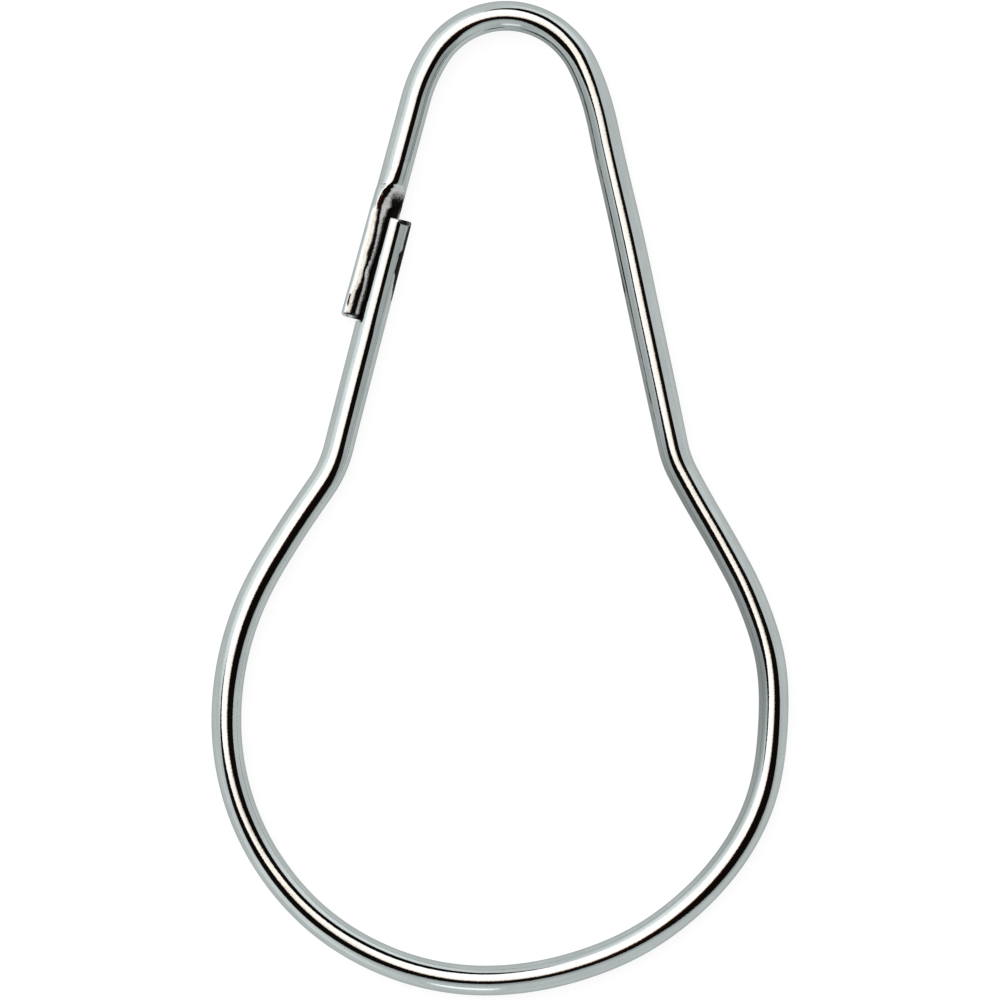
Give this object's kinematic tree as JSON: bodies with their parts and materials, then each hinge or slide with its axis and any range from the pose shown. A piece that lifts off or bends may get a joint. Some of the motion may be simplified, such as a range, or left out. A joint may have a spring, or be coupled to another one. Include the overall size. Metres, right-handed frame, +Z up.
{
  "type": "shower curtain ring",
  "caption": "Pear-shaped ring of bent wire with a snap latch on one leg. The round loop runs on a shower rod, and the narrow eye goes through the curtain.",
  "frame": {"origin": "middle of the round loop, at half the height of the wire as the ring lies flat", "axes": "+Y from the round loop to the narrow eye, +X away from the latched leg, +Z up out of the ring's plane, along the rod"},
  "size_m": [0.0481, 0.0828, 0.0024],
  "materials": {
    "plated_wire": "bright plated steel wire"
  },
  "bodies": {
    "root": {"wire_ring": "plated_wire"}
  },
  "joints": []
}
